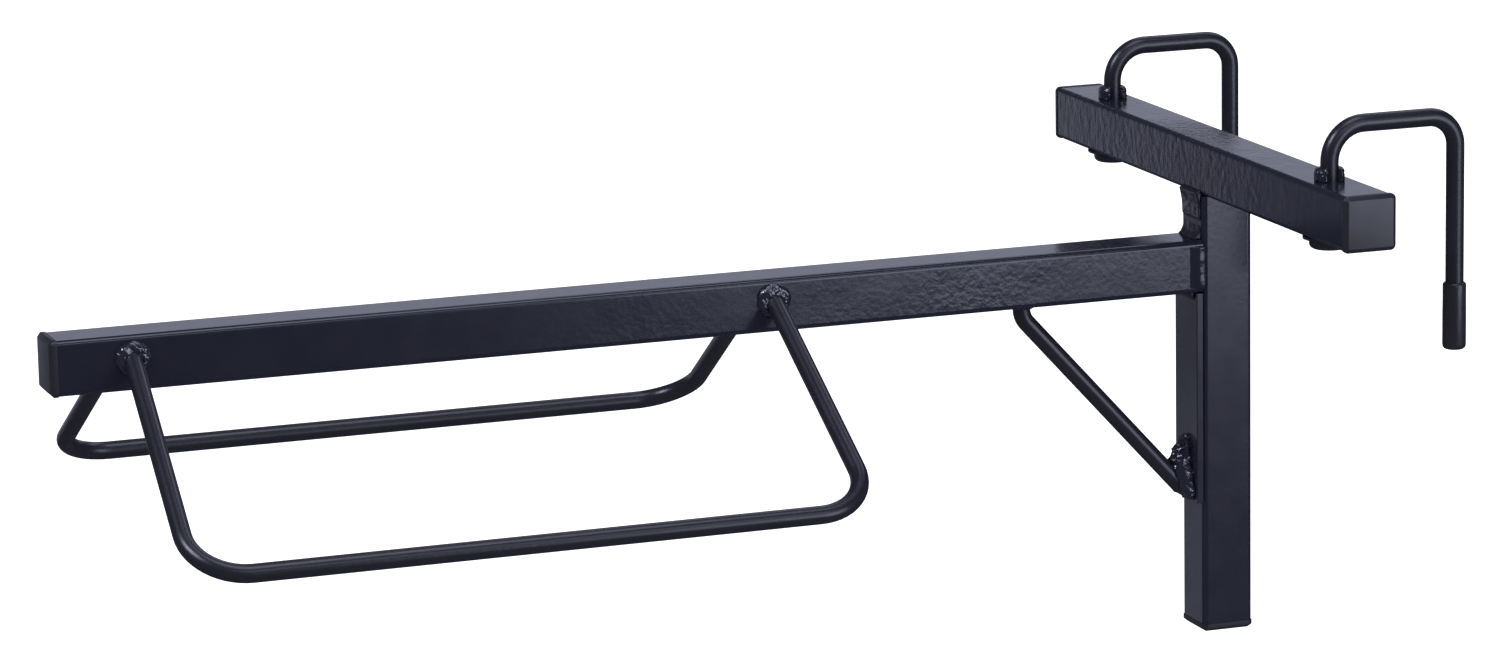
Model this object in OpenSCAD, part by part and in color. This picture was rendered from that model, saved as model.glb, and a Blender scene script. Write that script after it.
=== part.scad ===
// Portable rack that hooks over the top of a partition: a square-tube frame
// with a long arm and two bent-rod wings that carry the load.
//
// All lengths are in millimetres. +Z is up, +X is to the right of someone who
// faces the rack, and the arm points away from the partition, along -Y.
// Origin: mid-width, on the back plane of post and beam (Y = 0), level with
// the underside of the hooks, where the top edge of the partition sits.

/* [Tube and rod] */
// Outside width of the square tube of the arm, the post and the beam
tube_size = 30; // [25:0.5:36]
// Wall thickness of the square tube
tube_wall = 2; // [1.5:0.25:3]
// Outside corner radius of the square tube
tube_corner = 3; // [2.5:0.25:4]
// Diameter of the round rod of the wings, the hooks and the brace
rod_d = 10; // [8:0.5:12]

/* [Arm, post and beam] */
// Length of the arm tube in front of the post
arm_length = 655; // [500:5:800]
// Drop from the underside of the beam to the top of the arm
arm_drop = 25; // [18:1:50]
// Length of the post tube under the beam
post_length = 247; // [200:1:320]
// Length of the beam tube
beam_length = 390; // [300:5:480]

/* [Backing plate and brace] */
// Width of the flat bar on the front of the post
plate_width = 30; // [20:1:36]
// Thickness of the flat bar
plate_thickness = 4; // [2:0.5:6]
// Length of the flat bar below the arm
plate_length = 121; // [100:1:145]
// Distance from the post to the upright stub at the top of the brace
brace_reach = 104; // [80:1:130]
// Depth of the brace's top bend below the arm
brace_stub = 7.5; // [7:0.5:12]
// Height of the brace's foot above the lower end of the flat bar
brace_foot_rise = 6; // [5:0.5:20]
// Bend radius of the brace, to the rod's axis
brace_bend_radius = 12; // [10:0.5:14]

/* [Wings] */
// Distance between the outer runs of the two wings, axis to axis
wing_spread = 306; // [220:2:360]
// Drop from the arm's axis to the outer runs
wing_drop = 84.5; // [60:0.5:110]
// Distance from the post to the rear legs, where they meet the arm
wing_rear = 256; // [200:2:300]
// Distance between the front and rear legs, where they meet the arm
wing_pitch = 359; // [260:2:380]
// Angle that each leg slants along the arm, away from the other leg
wing_splay = 2; // [0:1:8]
// Height of the legs' roots above the arm's axis
wing_root_rise = 3; // [0:0.5:4]
// Bend radius at the wings' corners, to the rod's axis
wing_corner_radius = 30; // [20:1:40]

/* [Hooks] */
// Distance from each end of the beam tube to the nearer hook's axis
hook_inset = 47.5; // [40:0.5:80]
// Clear gap between the beam and a hook's rear leg
hook_gap = 55; // [40:1:80]
// Clear height from the beam's top to the hooks' top runs
hook_rise = 25; // [22:1:60]
// Length of the rear leg below the top run
hook_tail = 121; // [80:1:180]
// Bend radius over the beam, to the rod's axis
hook_front_radius = 20; // [14:1:22]
// Bend radius over the rear leg, to the rod's axis
hook_rear_radius = 16; // [14:1:20]
// Extra diameter of the beam's holes around the hooks
hook_hole_clearance = 0.5; // [0.2:0.1:1]

/* [Rubber tips] */
// Wall thickness of the rubber tips
tip_wall = 1.5; // [1:0.25:3]
// Length of the rubber tips
tip_length = 37; // [20:1:50]
// Thickness of the tips' closed end
tip_floor = 3; // [2:0.5:5]

/* [Hook fasteners] */
// Diameter of the washers under the beam
washer_d = 29; // [24:0.5:30]
// Thickness of the washers
washer_thickness = 1.5; // [1:0.25:3]
// Diameter of the domed cap nuts
nut_d = 22; // [18:0.5:23]
// Height of the cap nuts
nut_height = 5.5; // [5:0.25:8]
// Depth of the blind hole in the cap nuts
nut_depth = 3.5; // [2.5:0.25:4]
// Radius of the cap nuts' rounded edge
nut_round = 3; // [1:0.25:4]

/* [Tube end caps] */
// Thickness of the cap's square rim
cap_rim = 2.5; // [1.5:0.25:4]
// How far the rim stands proud of the tube on each side
cap_proud = 0.4; // [0:0.1:1]
// Height of the cap's bevelled face above the rim
cap_bevel_height = 2; // [1:0.25:3]
// Width of the bevel around the face
cap_bevel_width = 3; // [1:0.25:4]
// Length of the plug inside the tube
cap_plug_length = 14; // [8:1:25]
// Wall thickness of the hollow plug
cap_plug_wall = 1.8; // [1.2:0.2:3]
// Gap between the plug and the tube's inside face
cap_clearance = 0.4; // [0.2:0.1:1]
// Number of gripping ribs around the plug
cap_ribs = 3; // [1:1:4]
// Thickness of each gripping rib
cap_rib_thickness = 1; // [0.6:0.1:1.5]

/* [Welds] */
// Diameter of the beads around the wings' roots
wing_weld_d = 19; // [16:0.5:20]
// Height of the beads around the wings' roots
wing_weld_height = 4; // [2:0.5:5]
// Leg length of the bead around the top of the brace
brace_weld_leg = 2.5; // [1.5:0.5:3]
// Height of the fillet on top of the arm, up the post
arm_weld_height = 10; // [5:0.5:12]
// How far that fillet reaches along the arm
arm_weld_reach = 5; // [3:0.5:8]
// Leg length of the fillet under the arm
arm_weld_under = 6; // [3:0.5:8]
// How far the beads beside the arm stand out from it
arm_weld_side = 2; // [1:0.25:3]
// How far those beads run along the arm
arm_weld_side_run = 9; // [6:0.5:14]
// How far the bead between post and beam stands out in front of the post
post_weld_bulge = 3; // [1:0.25:4]
// Leg length of the fillet beside the post, under the beam
post_weld_leg = 5; // [3:0.5:7]
// Height of the tack beads beside the hooks
hook_tack_height = 7.5; // [5:0.5:8]
// Width of the tack beads beside the hooks
hook_tack_width = 3; // [2.5:0.25:4.5]
// Angle that each tack bead covers around its hook
hook_tack_angle = 110; // [60:5:150]
// Height of the bead over the brace's foot
foot_weld_height = 32; // [20:1:40]
// How far that bead stays in from the sides and the lower end of the flat bar
foot_weld_margin = 1.5; // [0.5:0.25:4]

/* [Hidden] */
$fn = 64;
// Flats around a bent rod, and the most that it turns between two rings
rod_sides = 24;
bend_step = 8;

steel_black = [0.11, 0.12, 0.15];
weld_black = [0.15, 0.16, 0.20];
plastic_black = [0.09, 0.09, 0.10];
rubber_black = [0.06, 0.06, 0.07];

rod_r = rod_d / 2;

// Levels
run_axis_z = rod_r;
beam_top = -hook_rise;
beam_bottom = beam_top - tube_size;
arm_top = beam_bottom - arm_drop;
arm_axis_z = arm_top - tube_size / 2;
arm_bottom = arm_top - tube_size;
post_bottom = beam_bottom - post_length;
plate_bottom = arm_bottom - plate_length;
hook_end_z = -hook_tail;

// Bead between post and beam: it runs down the post to the fillet on the arm
post_weld_height = arm_drop - arm_weld_height;

// Planes and axes along Y
post_front = -tube_size;
plate_front = post_front - plate_thickness;
arm_end = post_front - arm_length;
front_leg_y = -tube_size / 2;
rear_leg_y = hook_gap + rod_r;

// Distance between the two hooks, axis to axis
hook_spacing = beam_length - 2 * hook_inset;

// Threaded ends of the hooks, under the beam
nut_top = beam_bottom - washer_thickness;
hook_foot_z = nut_top - nut_depth;

// Wings, for the right-hand side: the legs start inside the arm and are cut off at its side
wing_root_x = tube_size / 2;
wing_root_z = arm_axis_z + wing_root_rise;
wing_run_x = wing_spread / 2;
wing_run_z = arm_axis_z - wing_drop;
wing_start_z = wing_root_z + (wing_root_z - wing_run_z) * wing_root_x / (wing_run_x - wing_root_x);
leg_reach = norm([wing_run_x, wing_start_z - wing_run_z]);
// Shifts along the arm from a leg's root to its start and to its lower corner
start_shift = leg_reach * wing_root_x / wing_run_x * tan(wing_splay);
corner_shift = leg_reach * tan(wing_splay) - start_shift;
rear_leg_root_y = post_front - wing_rear;
front_leg_root_y = rear_leg_root_y - wing_pitch;
wing_path = [
    [0, front_leg_root_y + start_shift, wing_start_z],
    [wing_run_x, front_leg_root_y - corner_shift, wing_run_z],
    [wing_run_x, rear_leg_root_y + corner_shift, wing_run_z],
    [0, rear_leg_root_y - start_shift, wing_start_z]
];

// Brace: its square-cut foot touches the plate with its upper edge
brace_top_y = post_front - brace_reach;
brace_bend_z = arm_bottom - brace_stub;
foot_touch_z = plate_bottom + brace_foot_rise + rod_r;
brace_run_y = plate_front - brace_top_y;
brace_run_z = brace_bend_z - foot_touch_z;
// Slope of the sloping run below level, from the touch point back to the bend
brace_slope = atan2(brace_run_z, brace_run_y) + asin(rod_r / norm([brace_run_y, brace_run_z]));
brace_foot_y = plate_front - rod_r * sin(brace_slope);
brace_foot_z = foot_touch_z - rod_r * cos(brace_slope);
brace_path = [
    [0, brace_top_y, arm_bottom],
    [0, brace_top_y, brace_bend_z],
    [0, brace_foot_y, brace_foot_z]
];

// ---- Bent rod -------------------------------------------------------------

function unit(v) = v / norm(v);

// Direction of the straight that starts at corner i
function heading(path, i) = unit(path[i + 1] - path[i]);

// Stations around the bend at corner i, each a point on the axis and its direction
function bend_stations(path, radius, i) =
    let (
        u = heading(path, i - 1),
        w = heading(path, i),
        turn = acos(u * w),
        inward = unit(w - u * (u * w)),
        start = path[i] - u * radius * tan(turn / 2),
        steps = ceil(turn / bend_step)
    )
    [for (k = [0 : steps])
        let (a = turn * k / steps)
        [start + radius * (inward * (1 - cos(a)) + u * sin(a)), u * cos(a) + inward * sin(a)]];

// Stations along a whole rod, from its first end to its last
function rod_stations(path, radius) =
    let (last = len(path) - 1)
    [
        [path[0], heading(path, 0)],
        for (i = [1 : last - 1]) each bend_stations(path, radius, i),
        [path[last], heading(path, last - 1)]
    ];

// Rod along a path of corners that lie in one plane, each rounded to one bend radius
module bent_rod(path, radius) {
    stations = rod_stations(path, radius);
    side = unit(cross(heading(path, 0), heading(path, 1)));
    last = (len(stations) - 1) * rod_sides;
    points = [
        for (s = stations, j = [0 : rod_sides - 1])
            let (a = 360 * j / rod_sides)
            s[0] + rod_r * (side * cos(a) + cross(s[1], side) * sin(a))
    ];
    polyhedron(points, [
        [for (j = [0 : rod_sides - 1]) j],
        for (i = [0 : rod_sides : last - 1], j = [0 : rod_sides - 1])
            let (next = (j + 1) % rod_sides)
            [i + next, i + j, i + rod_sides + j, i + rod_sides + next],
        [for (j = [rod_sides - 1 : -1 : 0]) last + j]
    ]);
}

// ---- Square tube and its caps ---------------------------------------------

// Square with rounded corners, centred
module rounded_square(size, radius) {
    square([size - 2 * radius, size], center = true);
    square([size, size - 2 * radius], center = true);
    for (x = [-1, 1], y = [-1, 1])
        translate([x, y] * (size / 2 - radius))
            circle(r = radius);
}

// Outline of the tube's inside
module tube_inside(gap = 0) {
    rounded_square(tube_size - 2 * (tube_wall + gap), tube_corner - tube_wall);
}

// Tube that stands on Z = 0
module tube(length) {
    linear_extrude(length)
        difference() {
            rounded_square(tube_size, tube_corner);
            tube_inside();
        }
}

// Solid outline of a tube along Z, to cut its neighbours with
module tube_block(length) {
    linear_extrude(length)
        rounded_square(tube_size, tube_corner);
}

// Lays what stands along +Z down along +X
module along_x() {
    rotate([0, 90, 0])
        children();
}

// Lays what stands along +Z down along -Y
module along_minus_y() {
    rotate([90, 0, 0])
        children();
}

// Block with two sloping flanks, seen along Y
module bevelled_ridge(rim) {
    face = rim - 2 * cap_bevel_width;
    rotate([90, 0, 0])
        linear_extrude(2 * rim, center = true)
            polygon([
                [-rim / 2, 0], [rim / 2, 0],
                [face / 2, cap_bevel_height], [-face / 2, cap_bevel_height]
            ]);
}

// Bevelled square face on top of a cap's rim
module bevelled_face(rim) {
    intersection() {
        linear_extrude(cap_bevel_height)
            rounded_square(rim, tube_corner);
        bevelled_ridge(rim);
        rotate([0, 0, 90])
            bevelled_ridge(rim);
    }
}

// End cap for a tube whose mouth is at Z = 0: the face is above, the plug below
module end_cap() {
    rim = tube_size + 2 * cap_proud;
    bore = tube_size - 2 * (tube_wall + cap_clearance + cap_plug_wall);
    linear_extrude(cap_rim)
        rounded_square(rim, tube_corner);
    translate([0, 0, cap_rim])
        bevelled_face(rim);
    translate([0, 0, -cap_plug_length])
        linear_extrude(cap_plug_length)
            difference() {
                tube_inside(cap_clearance);
                square(bore, center = true);
            }
    rib_pitch = cap_plug_length / (cap_ribs + 1);
    for (i = [1 : cap_ribs])
        translate([0, 0, -i * rib_pitch - cap_rib_thickness / 2])
            linear_extrude(cap_rib_thickness)
                difference() {
                    tube_inside();
                    square(bore, center = true);
                }
}

// ---- Frame ----------------------------------------------------------------

// Long square tube that the wings are welded to
module arm_tube() {
    color(steel_black)
        translate([0, post_front, arm_axis_z])
            along_minus_y()
                tube(arm_length);
}

module arm_end_cap() {
    color(plastic_black)
        translate([0, arm_end, arm_axis_z])
            along_minus_y()
                end_cap();
}

// Upright square tube, welded under the beam
module post_tube() {
    color(steel_black)
        translate([0, post_front / 2, post_bottom])
            tube(post_length);
}

module post_end_cap() {
    color(plastic_black)
        translate([0, post_front / 2, post_bottom])
            rotate([180, 0, 0])
                end_cap();
}

// Level square tube with a pair of holes for each hook
module cross_beam() {
    color(steel_black)
        difference() {
            translate([-beam_length / 2, post_front / 2, beam_top - tube_size / 2])
                along_x()
                    tube(beam_length);
            for (side = [-1, 1])
                translate([side * hook_spacing / 2, front_leg_y, beam_bottom - 1])
                    cylinder(h = tube_size + 2, d = rod_d + hook_hole_clearance);
        }
}

// Cap for one end of the beam: side is -1 for the left end, 1 for the right
module beam_cap(side) {
    color(plastic_black)
        translate([side * beam_length / 2, post_front / 2, beam_top - tube_size / 2])
            rotate([0, side * 90, 0])
                end_cap();
}

// Flat bar on the front of the post, under the arm
module backing_plate() {
    color(steel_black)
        translate([-plate_width / 2, plate_front, plate_bottom])
            cube([plate_width, plate_thickness, plate_length]);
}

// Rod that holds the arm up from the flat bar
module brace_rod() {
    color(steel_black)
        bent_rod(brace_path, brace_bend_radius);
}

// ---- Wings ----------------------------------------------------------------

// Whole rod of a wing, before it is cut off at the arm: side is -1 for the left, 1 for the right
module wing_rod(side) {
    bent_rod([for (p = wing_path) [side * p[0], p[1], p[2]]], wing_corner_radius);
}

module wing(side) {
    color(steel_black)
        difference() {
            wing_rod(side);
            translate([-tube_size / 2, 2 * front_leg_root_y, arm_bottom - tube_size])
                cube([tube_size, 2 * arm_length, 3 * tube_size]);
        }
}

// ---- Hooks and what is on them --------------------------------------------

// Quarter bend in the YZ plane about its own centre, from one direction to the next
module quarter_bend(radius, from) {
    rotate([90, 0, 90])
        rotate([0, 0, from])
            rotate_extrude(angle = 90)
                translate([radius, 0])
                    circle(r = rod_r);
}

// Rod that stands in the beam, runs back over the partition and down behind it
module hook(side) {
    front_bend_y = front_leg_y + hook_front_radius;
    rear_bend_y = rear_leg_y - hook_rear_radius;
    front_bend_z = run_axis_z - hook_front_radius;
    rear_bend_z = run_axis_z - hook_rear_radius;
    color(steel_black)
        translate([side * hook_spacing / 2, 0, 0]) {
            translate([0, front_leg_y, hook_foot_z])
                cylinder(h = front_bend_z - hook_foot_z, r = rod_r);
            translate([0, front_bend_y, front_bend_z])
                quarter_bend(hook_front_radius, 90);
            translate([0, rear_bend_y, run_axis_z])
                along_minus_y()
                    cylinder(h = rear_bend_y - front_bend_y, r = rod_r);
            translate([0, rear_bend_y, rear_bend_z])
                quarter_bend(hook_rear_radius, 0);
            translate([0, rear_leg_y, hook_end_z])
                cylinder(h = rear_bend_z - hook_end_z, r = rod_r);
        }
}

// Rubber sleeve on the end of a hook, closed below, with bevelled ends
module hook_tip(side) {
    tip_r = rod_r + tip_wall;
    bevel = tip_wall / 2;
    bottom = hook_end_z - tip_floor;
    color(rubber_black)
        translate([side * hook_spacing / 2, rear_leg_y, bottom])
            rotate_extrude()
                polygon([
                    [0, 0], [tip_r - 2 * bevel, 0], [tip_r, 2 * bevel],
                    [tip_r, tip_length - bevel], [tip_r - bevel, tip_length],
                    [rod_r, tip_length], [rod_r, tip_floor], [0, tip_floor]
                ]);
}

module hook_washers() {
    color(steel_black)
        for (side = [-1, 1])
            translate([side * hook_spacing / 2, front_leg_y, nut_top])
                difference() {
                    cylinder(h = washer_thickness, d = washer_d);
                    translate([0, 0, -1])
                        cylinder(h = washer_thickness + 2, d = rod_d + hook_hole_clearance);
                }
}

// Outline of a cap nut, with its seat on the line Y = 0 and its dome below
module nut_outline() {
    square_r = nut_d / 2 - nut_round;
    difference() {
        union() {
            translate([0, -nut_height])
                square([square_r, nut_height]);
            translate([0, nut_round - nut_height])
                square([nut_d / 2, nut_height - nut_round]);
            translate([square_r, nut_round - nut_height])
                intersection() {
                    circle(r = nut_round);
                    translate([0, -nut_round])
                        square(nut_round);
                }
        }
        translate([0, -nut_depth])
            square([rod_r, nut_depth]);
    }
}

module hook_cap_nuts() {
    color(steel_black)
        for (side = [-1, 1])
            translate([side * hook_spacing / 2, front_leg_y, nut_top])
                rotate_extrude()
                    nut_outline();
}

// ---- Welds ----------------------------------------------------------------

// Round bead in the corner between a rod along +Z and the face it stands on
module ring_bead(leg) {
    rotate_extrude()
        translate([rod_r, 0])
            intersection() {
                circle(r = leg);
                square(leg);
            }
}

// Half outline of a round button with a rounded edge, on the line Y = 0
module button_outline(radius, height) {
    square([radius - height, height]);
    translate([radius - height, 0])
        intersection() {
            circle(r = height);
            square(height);
        }
}

// Hollow-faced fillet along +Z in the corner of the +X and +Y directions
module fillet(width, height, length) {
    linear_extrude(length)
        polygon([
            [0, 0], [width, 0],
            for (a = [10 : 10 : 80]) [width * (1 - sin(a)), height * (1 - cos(a))],
            [0, height]
        ]);
}

// Button-shaped beads around the four roots of the wings
module wing_welds() {
    color(weld_black)
        for (side = [-1, 1])
            difference() {
                for (y = [front_leg_root_y, rear_leg_root_y])
                    translate([side * wing_root_x, y, wing_root_z])
                        rotate([0, side * 90, 0])
                            rotate_extrude()
                                button_outline(wing_weld_d / 2, wing_weld_height);
                wing_rod(side);
            }
}

module brace_top_weld() {
    color(weld_black)
        translate([0, brace_top_y, arm_bottom])
            rotate([180, 0, 0])
                ring_bead(brace_weld_leg);
}

// Bead that wraps the foot of the brace and runs up the flat bar
module brace_foot_weld() {
    crest_r = 4;
    root_r = 8;
    root_y = plate_front - 3;
    side_r = 4;
    foot_x = plate_width / 2 - foot_weld_margin - side_r;
    foot_z = plate_bottom + foot_weld_margin + side_r;
    crest_z = plate_bottom + brace_foot_rise + foot_weld_height - crest_r;
    color(weld_black)
        difference() {
            hull() {
                translate([0, plate_front, crest_z])
                    sphere(r = crest_r, $fn = 32);
                translate([0, root_y, foot_touch_z + root_r])
                    sphere(r = root_r, $fn = 32);
                for (x = [-foot_x, foot_x])
                    translate([x, plate_front, foot_z])
                        sphere(r = side_r, $fn = 32);
            }
            translate([-plate_width, plate_front, plate_bottom - 2 * plate_width])
                cube([2 * plate_width, plate_width, 2 * plate_length]);
            bent_rod(brace_path, brace_bend_radius);
        }
}

// Fillets above and below the end of the arm, and beads down its sides
module arm_weld() {
    flat = tube_size - 2 * tube_corner;
    color(weld_black) {
        translate([-flat / 2, post_front, arm_top])
            rotate([90, 0, 90])
                mirror([1, 0, 0])
                    fillet(arm_weld_reach, arm_weld_height, flat);
        translate([flat / 2, plate_front, arm_bottom])
            rotate([-90, 0, 90])
                mirror([1, 0, 0])
                    fillet(arm_weld_under, arm_weld_under, flat);
        difference() {
            for (side = [0, 1])
                mirror([side, 0, 0])
                    translate([tube_size / 2, post_front, arm_bottom + tube_corner])
                        linear_extrude(flat)
                            polygon([
                                [-tube_corner, tube_corner / 2], [arm_weld_side * 0.6, tube_corner / 2],
                                [arm_weld_side, 0], [arm_weld_side, -arm_weld_side_run * 0.3],
                                [arm_weld_side / 2, -arm_weld_side_run * 0.7],
                                [0, -arm_weld_side_run], [-tube_corner, -arm_weld_side_run]
                            ]);
            translate([0, post_front / 2, arm_bottom - 1])
                tube_block(tube_size + 2);
            translate([-tube_size / 2, post_front - tube_size, arm_bottom - 1])
                cube([tube_size, tube_size, tube_size + 2]);
        }
    }
}

// Bead on the front of the post under the beam, and a fillet on its left side
module post_weld() {
    flat = tube_size - 2 * tube_corner;
    rise = tube_corner;
    color(weld_black)
        difference() {
            union() {
                translate([-flat / 2, post_front, beam_bottom])
                    rotate([90, 0, 90])
                        linear_extrude(flat)
                            polygon([
                                [tube_corner, rise], [0, rise],
                                [-post_weld_bulge, rise / 2],
                                [-post_weld_bulge * 0.7, -post_weld_height * 0.15],
                                [-post_weld_bulge * 0.5, -post_weld_height * 0.35],
                                [-post_weld_bulge * 0.4, -post_weld_height * 0.85],
                                [0, -post_weld_height], [tube_corner, -post_weld_height]
                            ]);
                translate([-tube_size / 2, post_front + tube_corner, beam_bottom])
                    rotate([-90, 0, 0])
                        mirror([1, 0, 0])
                            fillet(post_weld_leg, post_weld_leg, flat);
            }
            translate([0, post_front / 2, beam_bottom - 2 * post_weld_height])
                tube_block(2 * post_weld_height);
            translate([-tube_size, post_front / 2, beam_top - tube_size / 2])
                along_x()
                    tube_block(2 * tube_size);
        }
}

// Tack beads in front of and behind each hook, on top of the beam
module hook_welds() {
    shoulder = hook_tack_height - hook_tack_width;
    color(weld_black)
        for (side = [-1, 1], facing = [-90, 90])
            translate([side * hook_spacing / 2, front_leg_y, beam_top])
                rotate([0, 0, facing - hook_tack_angle / 2])
                    rotate_extrude(angle = hook_tack_angle)
                        translate([rod_r, 0]) {
                            square([hook_tack_width, shoulder]);
                            translate([0, shoulder])
                                intersection() {
                                    circle(r = hook_tack_width);
                                    square(hook_tack_width);
                                }
                        }
}

arm_tube();
arm_end_cap();
post_tube();
post_end_cap();
cross_beam();
beam_cap(-1);  // beam_cap_left
beam_cap(1);  // beam_cap_right
backing_plate();
brace_rod();
wing(-1);  // wing_left
wing(1);  // wing_right
hook(-1);  // hook_left
hook(1);  // hook_right
hook_tip(-1);  // hook_tip_left
hook_tip(1);  // hook_tip_right
hook_washers();
hook_cap_nuts();
arm_weld();
post_weld();
brace_top_weld();
brace_foot_weld();
wing_welds();
hook_welds();
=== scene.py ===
"""Looks of a hook-over saddle rack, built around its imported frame.

Lengths are in metres in the frame's own axes: +Z up, the arm along -Y, the
partition on the +Y side. Places come from the boxes of the frame's nodes.
"""

import logging
import math
from dataclasses import dataclass, replace
from enum import Enum
from typing import Any, Iterable, Optional, Sequence, Union

import bmesh
import bpy
from mathutils import Matrix, Vector, noise


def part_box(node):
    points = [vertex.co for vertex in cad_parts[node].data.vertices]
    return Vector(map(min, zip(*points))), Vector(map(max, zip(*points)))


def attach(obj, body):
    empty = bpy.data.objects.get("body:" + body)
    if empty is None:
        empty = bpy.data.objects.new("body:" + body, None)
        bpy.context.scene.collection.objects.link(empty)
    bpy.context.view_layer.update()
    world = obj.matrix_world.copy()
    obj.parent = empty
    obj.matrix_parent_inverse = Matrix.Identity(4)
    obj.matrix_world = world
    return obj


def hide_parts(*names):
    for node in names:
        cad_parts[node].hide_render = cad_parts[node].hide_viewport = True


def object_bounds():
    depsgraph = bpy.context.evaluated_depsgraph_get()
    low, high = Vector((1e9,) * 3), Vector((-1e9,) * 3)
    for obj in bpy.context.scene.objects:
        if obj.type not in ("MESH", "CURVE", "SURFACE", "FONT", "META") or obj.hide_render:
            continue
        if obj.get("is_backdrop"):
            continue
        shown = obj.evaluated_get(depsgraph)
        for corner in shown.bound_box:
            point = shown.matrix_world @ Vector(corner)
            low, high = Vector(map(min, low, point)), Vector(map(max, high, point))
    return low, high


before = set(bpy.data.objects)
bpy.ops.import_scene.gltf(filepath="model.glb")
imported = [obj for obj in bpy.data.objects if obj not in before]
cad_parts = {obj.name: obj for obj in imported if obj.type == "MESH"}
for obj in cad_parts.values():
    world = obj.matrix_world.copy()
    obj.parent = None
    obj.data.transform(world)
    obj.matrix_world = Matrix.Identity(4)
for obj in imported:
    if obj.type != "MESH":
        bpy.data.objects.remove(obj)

log = logging.getLogger("saddle_rack")

MM = 0.001
BODY = "root"

Colour = tuple[float, float, float]
WHITE: Colour = (1.0, 1.0, 1.0)
COOL_WHITE: Colour = (0.76, 0.79, 1.0)

# Points closer than this are one point
MERGE = 0.0005 * MM
# Numbers of the Mix node's colour sockets, whose names its other sockets share
MIX_FIRST, MIX_SECOND, MIX_RESULT = 6, 7, 2
# How far large faces outweigh small ones in the shading: 50 is neutral and 100 is the most
FLAT_FACE_WEIGHT = 100
# A bevel's profile that follows a circle
ROUND_PROFILE = 0.5


class Side(Enum):
    """Left and right of someone who faces the rack, as signs along X."""

    LEFT = -1
    RIGHT = 1

    @property
    def word(self) -> str:
        """The side's name, as the frame's nodes spell it."""
        return self.name.lower()


class Slot(Enum):
    """The record's material slots."""

    POWDER_COAT = "powder_coat"
    WELD_COAT = "weld_coat"
    CAP_PLASTIC = "cap_plastic"
    TIP_RUBBER = "tip_rubber"


class Grain(Enum):
    """What the small relief of a finish looks like."""

    PEEL = "orange peel of sprayed powder"
    STREAK = "orange peel drawn out into upright runs"
    CRUMPLE = "wrinkled skin over a weld"
    MOULDED = "fine spark texture of a moulding tool"
    DIPPED = "soft waves of dipped rubber"


# ---- Shader expressions -----------------------------------------------------


class Value:
    """A socket that can be used in an expression, where each operator adds a Math node."""

    def __init__(self, recipe: "Recipe", socket: bpy.types.NodeSocket) -> None:
        """Keeps the recipe that the socket belongs to.

        Args:
            recipe: The material's nodes.
            socket: An output socket among them.
        """
        self.recipe = recipe
        self.socket = socket

    def _math(self, operation: str, other: "Operand") -> "Value":
        """Adds one Math node, with this value as its first input.

        Args:
            operation: Blender's name of the operation.
            other: The node's second input.

        Returns:
            The node's result.
        """
        return self.recipe.node("ShaderNodeMath", {"operation": operation}, {0: self, 1: other})

    def __add__(self, other: "Operand") -> "Value":
        """self + other."""
        return self._math("ADD", other)

    def __mul__(self, other: "Operand") -> "Value":
        """self * other."""
        return self._math("MULTIPLY", other)


Operand = Union[Value, float]


class Recipe:
    """The node tree of one material or world."""

    def __init__(self, owner: Union[bpy.types.Material, bpy.types.World]) -> None:
        """Empties the owner's node tree.

        Args:
            owner: The material or world that the nodes belong to.
        """
        owner.use_nodes = True
        self.tree = owner.node_tree
        self.tree.nodes.clear()

    def node(
        self, kind: str, settings: dict[str, Any], inputs: dict[Any, Any], output: Union[int, str] = 0
    ) -> Value:
        """Adds one node.

        Args:
            kind: Blender's type name of the node.
            settings: The node's own settings, set before its sockets.
            inputs: Values or links by socket name or number.
            output: The output socket that is returned.

        Returns:
            The chosen output as a value.
        """
        made = self.tree.nodes.new(kind)
        for name, setting in settings.items():
            setattr(made, name, setting)
        for name, value in inputs.items():
            if isinstance(value, Value):
                self.tree.links.new(value.socket, made.inputs[name])
            else:
                made.inputs[name].default_value = value
        return Value(self, made.outputs[output] if len(made.outputs) else None)

    def noise(self, where: Value, scale: float, detail: float = 2.0, roughness: float = 0.5) -> Value:
        """Adds a noise texture.

        Args:
            where: The coordinates that it reads.
            scale: Blotches in a metre, roughly.
            detail: Octaves of finer noise.
            roughness: Weight of the finer octaves.

        Returns:
            The noise, about 0.5 on average.
        """
        sockets = {"Vector": where, "Scale": scale, "Detail": detail, "Roughness": roughness}
        return self.node("ShaderNodeTexNoise", {}, sockets)

    def place(self, stretch: Sequence[float] = (1.0, 1.0, 1.0)) -> Value:
        """Object coordinates, stretched.

        Args:
            stretch: Scale of the coordinates along X, Y and Z.

        Returns:
            The coordinates.
        """
        where = self.node("ShaderNodeTexCoord", {}, {}, "Object")
        return self.node("ShaderNodeMapping", {}, {"Vector": where, "Scale": tuple(stretch)})

    def soft_step(self, value: Value, low: float, high: float, least: float = 0.0) -> Value:
        """Adds a soft step.

        Args:
            value: What is mapped.
            low: Value that gives the least.
            high: Value that gives 1. It can be below the low one.
            least: The step's lower end.

        Returns:
            The step, from the least to 1.
        """
        sockets = {"Value": value, "From Min": low, "From Max": high, "To Min": least, "To Max": 1.0}
        return self.node("ShaderNodeMapRange", {"interpolation_type": "SMOOTHSTEP"}, sockets)

    def by_ray(self, shown: Value, reflected: Value) -> Value:
        """Mixes two shaders by what sees them.

        Args:
            shown: The shader that the camera and rough faces see.
            reflected: The shader that glossy faces reflect.

        Returns:
            The mixed shader.
        """
        glossy = self.node("ShaderNodeLightPath", {}, {}, "Is Glossy Ray")
        return self.node("ShaderNodeMixShader", {}, {0: glossy, 1: shown, 2: reflected})


def opaque(colour: Colour) -> tuple[float, float, float, float]:
    """A colour as the nodes take it.

    Args:
        colour: Linear red, green and blue.

    Returns:
        The colour with full alpha.
    """
    return (*colour, 1.0)


# ---- Finishes ---------------------------------------------------------------


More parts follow.
